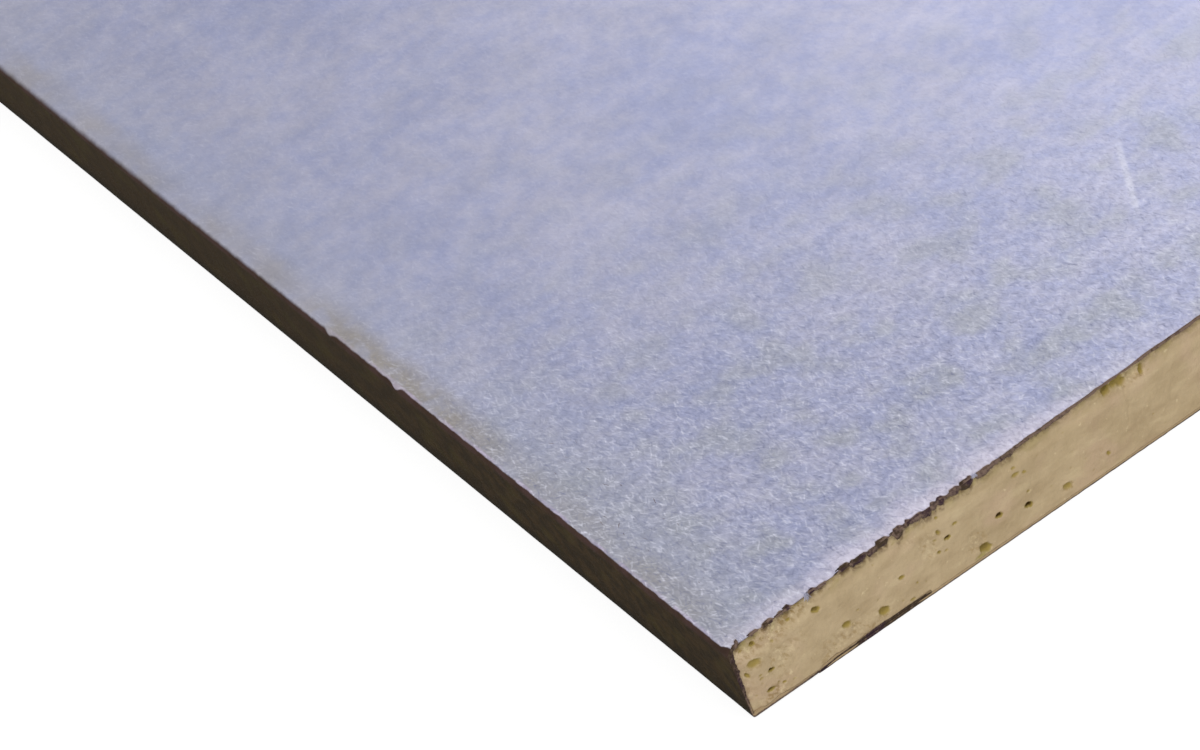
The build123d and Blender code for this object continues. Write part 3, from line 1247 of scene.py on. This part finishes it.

# %% [markdown]
# ## Places of pores and chips
# Air is whipped into the gypsum, and the saw opens the bubbles that it meets. The larger
# pores stand where the photographed sheet has them, and small ones are spread by seeded
# chance. Under the paper a chip has broken out of the core. It has an uneven outline, so it
# is made of several overlapping bowls.

# %% Places of pores and chips
# A pore: x from the side, z, half width and half height in millimetres; depth and shade.
LARGE_PORES = (
    (29.5, 6.2, 0.40, 0.27, 1.0), (36.5, 4.5, 0.46, 0.36, 0.8), (40.5, 3.2, 0.48, 0.42, 0.9),
    (28.1, 5.0, 0.26, 0.20, 0.5), (22.8, 5.1, 0.40, 0.30, 0.2), (19.8, 2.3, 0.68, 0.62, 0.2),
    (14.9, 3.8, 0.66, 0.50, 0.1), (11.6, 8.5, 0.52, 0.34, 0.4), (4.7, 4.7, 0.40, 0.24, 0.8),
    (4.1, 2.1, 0.55, 0.32, 0.4), (2.9, 7.0, 0.85, 0.60, 0.0), (5.9, 1.9, 0.28, 0.20, 0.2),
    (30.8, 7.4, 0.40, 0.24, 0.1), (28.5, 7.7, 0.24, 0.40, 0.1), (46.0, 2.1, 0.66, 0.50, 0.0),
    (1.9, 5.7, 0.24, 0.38, 0.1), (34.0, 1.4, 0.72, 0.60, 0.3), (3.5, 9.2, 0.34, 0.28, 0.4),
    (8.3, 9.3, 0.32, 0.26, 0.1), (5.7, 8.2, 0.22, 0.18, 0.1), (24.6, 3.0, 0.18, 0.15, 0.4),
    (52.1, 2.7, 0.26, 0.30, 0.1), (39.6, 8.3, 0.55, 0.32, 0.0), (40.8, 7.9, 0.30, 0.26, 0.0),
)
# A bowl of the chip: x from the side, place below the core's top, half sizes; depth; shade.
CHIPS = (
    (53.4, 0.90, 0.80, 0.80, 0.8, 0.66), (54.9, 0.75, 1.10, 0.80, 0.6, 0.52),
    (55.6, 1.35, 0.75, 0.65, 0.5, 0.45), (57.3, 1.10, 1.20, 0.80, 0.3, 0.0),
    (58.5, 1.50, 0.40, 0.95, 0.5, 0.5),
)
chance = np.random.default_rng(51)
small_sizes = 0.09 + 0.09 * chance.random(50) ** 2
small_pores = np.stack([1.5 + 60 * chance.random(50) ** 1.4, chance.uniform(1.0, 11.0, 50),
                        small_sizes * chance.uniform(1, 2.2, 50), small_sizes,
                        0.4 * chance.random(50)], axis=-1)
FLOOR_NICK_X = 33.4
CRACK_X = 55.7
print(len(LARGE_PORES), "large and", len(small_pores), "small pores")

# %% [markdown]
# ## Relief of the sawn end
# A pore is a bowl: its depth follows a half circle, and noise makes its rim uneven. Pores
# and crumbs lean a little to one side, as if the saw had dragged them. The core crumbles
# under the paper and at the corner. One function adds all of this up as depth behind the end
# plane, and gives the masks that the material colours.

# %% Relief of the sawn end
def open_bubbles(x, z, wobble):
    """Depth, olive tone with painted shade, and crumbled halo of all pores; 1 is the rim for the
    distance out.
    """
    depth, pore, halo = (np.zeros(x.shape) for _ in range(3))
    for middle_x, middle_z, half_x, half_z, deep in (*LARGE_PORES, *small_pores):
        up = z / MM - middle_z
        out = np.hypot((x / MM - middle_x + 0.35 * up) / half_x, up / half_z) * wobble
        halo = np.maximum(halo, ramp(out, 1.7, 1.1) * min(1, half_z / 0.5))
        bowl = np.sqrt(np.clip(1 - out * out, 0, 1))
        depth = np.maximum(depth, (0.6 + deep) * half_z * MM * bowl)
        # Olive tone, with more painted shade in deeper pores.
        stain = ramp(out, 1.3, 0.65) * min(1, half_z / 0.26) * (0.42 + 0.9 * deep)
        pore = np.maximum(pore, np.minimum(stain, 1))
    return depth, pore, halo


def crumbled_places(x, z, below):
    """Mask of crumbs: below the paper near the corner, up the side, at its foot, strewn."""
    below_paper = ramp(below, 0.8 * MM + 3.4 * MM * ramp(x, 16 * MM, 6 * MM), 0.5 * MM)
    below_paper = below_paper * ramp(x, 40 * MM, 12 * MM)
    by_side = ramp(x, 2.8 * MM, 1.2 * MM) * (0.55 + 0.4 * smooth_noise(z, x, 2 * MM, 75))
    by_foot = ramp(np.hypot(x / MM - 4.5, 1.6 * (z / MM - 1.2)), 3, 1)
    strewn = 0.5 * ramp(smooth_noise(x, z, 3 * MM, 77), 0.25, 0.7) * ramp(x, 66 * MM, 40 * MM)
    return np.max([below_paper, by_side, 0.7 * by_foot, strewn], axis=0)


def sawn_relief(x, z, top):
    """Depth behind the end plane, and masks of pores, rim, crumbs and the painted shade under
    the torn plies. x is the distance from the side, and top the highest z of the core there."""
    wobble = 1 + 0.3 * rough_noise(x, z, 0.6 * MM, 61)
    depth, pore, halo = open_bubbles(x, z, wobble)
    below = top - z
    depth += 0.15 * MM * ramp(below, 1.4 * MM, 0) * (1 + rough_noise(x, z, 1.1 * MM, 63))
    crumbled = crumbled_places(x, z, below)
    depth += 0.2 * MM * crumbled * (1 + rough_noise(x + 0.45 * z, 0.8 * z, 0.65 * MM, 73))
    for middle_x, middle_below, half_x, half_below, deep, stain in CHIPS:
        out = np.hypot((x / MM - middle_x) / half_x, (below / MM - middle_below) / half_below)
        depth = np.maximum(depth, deep * MM * ramp(out * wobble, 1, 0.5))
        # Painted shade in the chip's bowls.
        pore = np.maximum(pore, stain * ramp(out * wobble, 1.05, 0.6))
        halo = np.maximum(halo, ramp(out, 1.7, 1.1))
    nick = np.hypot((x / MM - FLOOR_NICK_X) / 1.3, (z / MM - 0.7) / 0.4) * wobble
    depth += 0.12 * MM * ramp(nick, 1, 0.4)
    crack_x = CRACK_X * MM + 0.4 * MM * smooth_noise(z, 0, 1.5 * MM, 65)
    depth += 0.10 * MM * ramp(np.abs(x - crack_x), 0.2 * MM, 0) * ramp(z, 4 * MM, 5 * MM)
    depth += 0.05 * MM * rough_noise(x, z, 0.6 * MM, 67)
    depth += 0.04 * MM * rough_noise(x, 2 * z, 6 * MM, 69)
    rim = ramp(below, 2.4 * MM, 0.4 * MM) * (0.55 + 0.45 * smooth_noise(x, z, 3 * MM, 71))
    rim = np.maximum(rim, ramp(nick, 1.1, 0.5))
    u = x + taper_start - x_on_nose
    past_fringe = below + face_paper - fringe_reach(u)
    # Painted shade just below the hanging fringe, as dark as the plies above it.
    painted_shade_under_plies = ramp(past_fringe, 1.1 * MM, 0.4 * MM) * torn_band(u)[3]
    return depth, pore, rim, np.maximum(crumbled, 0.6 * halo), painted_shade_under_plies


first_pore = np.array([LARGE_PORES[0][:2]]) * MM
pore_depth = open_bubbles(first_pore[:, 0], first_pore[:, 1], 1.0)[0]
print("the first large pore is", round(float(pore_depth[0] / MM), 2), "mm deep")

# %% [markdown]
# ## Grids of the core's ends
# Both ends of the core are grids of upright columns from its lowest to its highest point.
# The photographed end is dense near the corner and carries the relief, which fades out at
# about 70 mm. Near the papers the end stands back by the full setback, for the torn plies,
# and farther in by less.

# %% Grids of the core's ends
def core_end(places, rows):
    """x and z of a grid over the section: at each x, rows from the bottom to the top."""
    x = np.broadcast_to(places[:, None], (places.size, rows.size))
    low, high = core_bottom(x), core_top(x)
    return x, low + rows[None, :] * (high - low), high


left_x = -core_end_x
near_x = graded(
    [left_x, left_x + 1.6 * MM, left_x + 72 * MM, left_x + 90 * MM, -left_x - 2 * MM, -left_x],
    [0.06 * MM, 0.15 * MM, 0.5 * MM, 12 * MM, 0.2 * MM],
)
near_t = np.linspace(0, 1, 73)
far_x = graded(
    [left_x, left_x + 2 * MM, left_x + 66 * MM, -left_x - 66 * MM, -left_x - 2 * MM, -left_x],
    np.array([0.2, 4, 60, 4, 0.2]) * MM,
)
far_t = np.linspace(0, 1, 7)
x, z, top = core_end(near_x, near_t)
relief, pore, rim, crumb, painted_shade_under_plies = sawn_relief(x + half_width, z, top)
closeness = ramp(x + half_width, 74 * MM, 70 * MM)
relief = np.clip(relief, -0.06 * MM, 3 * MM) * closeness
from_side = x + half_width - face_paper - edge_undercut * (1 - z / edge_height)
far_in = np.minimum(ramp(top - z, 1.6 * MM, 3.0 * MM), ramp(from_side, 0.7 * MM, 1.4 * MM))
setback = end_setback - 0.28 * MM * far_in
near = np.stack([x, setback + relief - half_length, z], axis=-1)
far_grid_x, far_grid_z, _ = core_end(far_x, far_t)
far_y = np.full(far_grid_x.shape, half_length - end_setback)
far = np.stack([far_grid_x, far_y, far_grid_z], axis=-1)
print("near end", near.shape[:2], "and far end", far.shape[:2])

# %% [markdown]
# ## The gypsum core
# The long skin between the two ends is covered by the papers, so it is plain: one seam along
# each border joins the two grids to a closed block.

# %% The gypsum core
near_index = point_numbers(near_x.size, near_t.size)
far_index = point_numbers(far_x.size, far_t.size, near_index.size)
masks = {
    "pore": pore * closeness,
    "rim": rim * closeness,
    "crumb": crumb * closeness,
    "painted_shade_under_plies": painted_shade_under_plies * closeness,
    "close": closeness,
}
plain = np.zeros(far_index.size)
add_piece(
    "gypsum_core_sawn",
    np.concatenate([near.reshape(-1, 3), far.reshape(-1, 3)]),
    [grid_quads(near_index), grid_quads(far_index),
     sewn_borders(near_index, near_x, near_t, far_index, far_x, far_t)],
    [gypsum_finish],
    stands_for=["gypsum_core"],
    attributes={key: np.concatenate([mask.ravel(), plain]) for key, mask in masks.items()},
)

# %% [markdown]
# ## The back paper
# The back paper lies flat under the core and over both flaps. Its cut shows as a thin dark
# line along the floor. The mesh is a closed ring of points for each place across the sheet:
# up the slightly ragged cut, along the top, down the far end and back along the bottom. At
# its sides it thins out under the flap that dips to the floor there.

# %% The back paper
feathered = back_paper_end + 2.9 * MM
across = graded([-feathered, 75 * MM - half_width, feathered - 3 * MM, feathered],
                np.array([0.25, 25, 0.5]) * MM)
ragged = 0.03 * MM * (1 + rough_noise(across, 0, 0.8 * MM, 81))
flat_y = np.array([0, 0, 0.06, 3, length / MM, length / MM, 3, 0.06]) * MM
flat_z = np.array([0.05, 0.34, 0.4, 0.4, 0.4, 0, 0, 0]) * MM
cut_steps = (0, 1, 7)
ring_y = flat_y[None, :] + ragged[:, None] * (flat_y < 1 * MM)[None, :] - half_length
ring_x = np.broadcast_to(across[:, None], ring_y.shape)
left = 1 - edge_dip / back_paper * ramp(np.abs(across), back_paper_end + 0.3 * MM,
                                         back_paper_end + 3 * MM)
ring_z = flat_z[None, :] * left[:, None] * back_paper / (0.4 * MM)
ring_index = point_numbers(*ring_y.shape)
quads = tube_quads(ring_index)
is_cut = np.isin(np.arange(len(quads)) % flat_y.size, cut_steps)
add_piece(
    "back_paper_sheet",
    np.stack([ring_x, ring_y, ring_z], axis=-1),
    [quads, ring_index[:1], ring_index[-1:]],
    [back_finish, ply_finish],
    stands_for=["back_paper"],
    face_material=np.concatenate([is_cut.astype(int), [0, 0]]),
    attributes={
        "depth": ring_z / back_paper,
        "dust": 0.1 + 0.5 * ramp(np.abs(ring_x + half_width - 20 * MM), 4 * MM, 5 * MM),
        "dark": np.full(ring_y.shape, 0.85),
    },
)

# %% [markdown]
# ## Fibres as thin tubes
# Fluff along the torn cut catches the light and softens the line. Each fibre is a thin tube
# with three sides along a bent path: start, direction and bend are arrays, one row a fibre,
# so all of them are made at once. They are kept inside the sheet's own box.

# %% Fibres as thin tubes
FIBRE_RINGS = 6
FIBRE_SIDES = 3
FIBRE_POINTS = FIBRE_RINGS * FIBRE_SIDES


def fibre_tubes(name, start, way, bend, radius, tone, finish):
    """Tubes along start + way t + bend t^2, thinner at both ends, with a tone for each."""
    t = np.linspace(0, 1, FIBRE_RINGS)[None, :, None]
    path = start[:, None] + way[:, None] * t + bend[:, None] * t * t
    aside = np.cross(way, (0.3, 0.2, 1.0))
    aside /= np.linalg.norm(aside, axis=1, keepdims=True)
    over = np.cross(aside, way)
    over /= np.linalg.norm(over, axis=1, keepdims=True)
    width = radius[:, None, None, None] * (0.35 + 2.6 * t * (1 - t))[..., None]
    angle = np.arange(FIBRE_SIDES)[None, None, :, None] * (2 * math.pi / FIBRE_SIDES)
    section = aside[:, None, None] * np.cos(angle) + over[:, None, None] * np.sin(angle)
    points = path[:, :, None] + section * width
    points[..., 1] = np.clip(points[..., 1], -half_length, half_length)
    points[..., 2] = np.clip(points[..., 2], 0, thickness)
    index = np.arange(len(points) * FIBRE_POINTS).reshape(-1, FIBRE_RINGS, FIBRE_SIDES)
    caps = np.concatenate([index[:, 0], index[:, -1]])
    return add_piece(name, points, [tube_quads(index), caps], [finish],
                     attributes={"tone": np.repeat(tone, FIBRE_POINTS)})


def on_face(u, v, depth):
    """Points on the face, and the directions along the fold, along the board and outwards."""
    section, normal = inside_outline(u, depth)
    flat = np.zeros(len(u))
    out = np.stack([normal[..., 0], flat, normal[..., 1]], axis=-1)
    fold_way = np.stack([normal[..., 1], flat, -normal[..., 0]], axis=-1)
    return in_space(section, v), fold_way, np.array([[0.0, 1.0, 0.0]]), out


print("each fibre has", FIBRE_POINTS, "points")

# %% [markdown]
# ## Pale fibres along the cut
# Short pale fibres lie on the face near the cut, more of them close to the corner. They turn
# any way, and each starts behind the torn front line, so that none hovers before it.

# %% Pale fibres
chance = np.random.default_rng(91)
count = 320
fibre_u = taper_start + 104 * MM * chance.random(count) ** 1.3
fibre_v = 1.6 * MM * chance.random(count) + 0.25 * MM
fibre_v = fibre_v + torn_front(fibre_u) * ramp(fibre_v, 3 * MM, 0)
start, fold_way, long_way, out = on_face(fibre_u, fibre_v, chance.uniform(0.0, 0.25, count) * MM)
lean = chance.uniform(0, 2 * math.pi, count)[:, None]
size = chance.uniform(0.25, 1.0, count)[:, None] * MM
way = (fold_way * np.cos(lean) + 0.6 * long_way * np.sin(lean) - 0.12 * out) * size
bend = (fold_way * chance.normal(0, 0.3, (count, 1)) - 0.3 * out) * size
fibre_tubes("face_paper_pale_fibres", start, way, bend, chance.uniform(0.012, 0.03, count) * MM,
            chance.random(count), pale_fibre_finish)

# %% [markdown]
# ## Tufts
# Three tufts of pale fibres stand out: one by the nose, and two that hang over the cut where
# the dark plies are missing. Each fibre runs from the face over the cut and down.

# %% Tufts
# Distance from the side, how far back on the face they start, and how far down they hang.
TUFTS = np.array([(2.25, 1.4, 0.1), (11.0, 0.3, 1.1), (34.5, 0.5, 0.45)]) * MM
which = np.repeat([0, 1, 2], [70, 34, 34])
tuft_x, tuft_back, tuft_hang = TUFTS[which].T
count = len(which)
fibre_u = taper_start - x_on_nose + tuft_x + chance.normal(0, 0.14, count) * MM
fibre_v = tuft_back * chance.uniform(0.4, 1.0, count)
start, fold_way, long_way, out = on_face(fibre_u, fibre_v, np.full(count, 0.02 * MM))
length_share = chance.uniform(0.2, 1.0, count)[:, None]
way = -long_way * fibre_v[:, None] - out * tuft_hang[:, None] * length_share
way = way + fold_way * chance.normal(0, 0.15, (count, 1)) * MM
bend = fold_way * chance.normal(0, 0.12, (count, 1)) * MM
fibre_tubes("face_paper_tufts", start, way, bend, chance.uniform(0.014, 0.03, count) * MM,
            np.where(which == 0, 0.9, 0.5) * chance.random(count), pale_fibre_finish)

# %% [markdown]
# ## Dark fibres
# Dark fibres hang from the clumps of torn plies. They are spread evenly at first, and each
# is kept by the chance that the mask of the clumps gives at its place.

# %% Dark fibres
count = 300
fibre_u = taper_start + torn_length * chance.random(count)
fibre_u = fibre_u[torn_band(fibre_u)[2] > chance.random(count)]
count = len(fibre_u)
start, fold_way, long_way, out = on_face(fibre_u, np.full(count, 0.2 * MM),
                                         fringe_reach(fibre_u) * chance.uniform(0.6, 1.0, count))
size = chance.uniform(0.15, 0.5, count)[:, None] * MM
way = (fold_way * chance.normal(0, 0.7, (count, 1)) - 0.35 * out) * size
bend = (fold_way * chance.normal(0, 0.4, (count, 1)) - 0.25 * out) * size
fibre_tubes("face_paper_dark_fibres", start, way, bend, chance.uniform(0.012, 0.028, count) * MM,
            chance.random(count), dark_fibre_finish)

# %% [markdown]
# ## Specks of dirt
# A few dark fibres lie flat on the taper near the nose, mostly along the board. They look
# like the specks of dirt that hands leave there.

# %% Specks of dirt
count = 30
fibre_u = taper_start + chance.uniform(1, 8, count) * MM
fibre_v = chance.uniform(9, 44, count) * MM
start, fold_way, long_way, out = on_face(fibre_u, fibre_v, np.full(count, 0.03 * MM))
size = chance.uniform(0.3, 0.9, count)[:, None] * MM
way = (long_way + fold_way * chance.normal(0, 0.4, (count, 1))) * size
bend = fold_way * chance.normal(0, 0.3, (count, 1)) * size
fibre_tubes("face_paper_dirt_fibres", start, way, bend, chance.uniform(0.02, 0.05, count) * MM,
            0.4 + 0.6 * chance.random(count), dark_fibre_finish)

# %% [markdown]
# ## Floor
# The photograph shows the board on pure white. The floor is a pale surface, and for rays
# that come straight from the camera it adds a little light of its own, which lifts it to
# white and still leaves the board's shadow on it. Its corners lie far outside the view.

# %% Floor
def seen_directly(tree):
    """1 for camera, glossy and transmission rays, and 0 for the light that falls on things."""
    path = add_node(tree, "LightPath").outputs
    seen = calc(tree, "MAXIMUM", path["Is Camera Ray"], path["Is Glossy Ray"])
    return calc(tree, "MAXIMUM", seen, path["Is Transmission Ray"])


floor_finish, tree, shader = new_material("White floor", 0.95, 0.1)
shader.inputs["Emission Color"].default_value = (1.0, 1.0, 1.0, 1.0)
direct = seen_directly(tree)
floor_colour = mix_colour(tree, direct, (0.8, 0.8, 0.8, 1.0), (0.4, 0.4, 0.4, 1.0))
tree.links.new(floor_colour, shader.inputs["Base Color"])
tree.links.new(product(tree, direct, 0.7), shader.inputs["Emission Strength"])
floor_reach = 60.0
floor_mesh = bpy.data.meshes.new("floor")
floor_corners = [(-floor_reach, -floor_reach), (floor_reach, -floor_reach),
                 (floor_reach, floor_reach), (-floor_reach, floor_reach)]
floor_mesh.from_pydata([(a, b, -0.02 * MM) for a, b in floor_corners], [], [(0, 1, 2, 3)])
floor_mesh.materials.append(floor_finish)
floor = bpy.data.objects.new("floor", floor_mesh)
bpy.context.scene.collection.objects.link(floor)

# %% [markdown]
# ## World and sun
# An even world and one soft sun light the sheet at a plain level, at which a colour renders
# about as it is written. The world, too, is white only for rays from the camera.

# %% World and sun
world = bpy.data.worlds.new("Even light")
bpy.context.scene.world = world
world.use_nodes = True
background = world.node_tree.nodes["Background"]
direct = seen_directly(world.node_tree)
strength = calc(world.node_tree, "MULTIPLY_ADD", direct, 0.4, 0.6)
world.node_tree.links.new(strength, background.inputs["Strength"])
background.inputs["Color"].default_value = (1.0, 1.0, 1.0, 1.0)

sun_data = bpy.data.lights.new("Soft sun", "SUN")
sun_data.energy = 1.5
sun_data.angle = math.radians(25)
sun = bpy.data.objects.new("Soft sun", sun_data)
bpy.context.scene.collection.objects.link(sun)
sun.rotation_euler = Vector((0.45, 0.55, -1.0)).to_track_quat("-Z", "Y").to_euler()
print("floor, world and sun set")

# %% [markdown]
# ## Camera
# The photograph was taken close, from above and in front of the corner, with a long lens and
# the camera rolled by 16 degrees. Its place and lens were worked out from the outlines of the
# edge and the cut in the photograph, with the board's thickness as the known length. We build
# the camera's own axes from the view direction and the roll, and set them as its rotation.

# %% Camera
corner = Vector((-half_width, -half_length, 0.0))
camera_place = corner + Vector((-146.36, -294.00, 322.66)) * MM
camera_target = corner + Vector((16.38, 45.13, 12.7)) * MM
roll = math.radians(-15.919)
camera_data = bpy.data.cameras.new("Camera")
camera_data.sensor_width = 36.0
camera_data.lens = 128.79
camera_data.clip_start = 0.01
camera_data.clip_end = 200.0
camera = bpy.data.objects.new("Camera", camera_data)
bpy.context.scene.collection.objects.link(camera)
forward = (camera_target - camera_place).normalized()
level_right = forward.cross(Vector((0, 0, 1))).normalized()
level_up = level_right.cross(forward)
right = level_right * math.cos(roll) + level_up * math.sin(roll)
up = level_up * math.cos(roll) - level_right * math.sin(roll)
turn = Matrix((right, up, -forward)).transposed()
camera.matrix_world = Matrix.Translation(camera_place) @ turn.to_4x4()
bpy.context.scene.camera = camera
bpy.context.scene.view_settings.view_transform = "Standard"
print("camera", [round(v, 4) for v in camera_place])
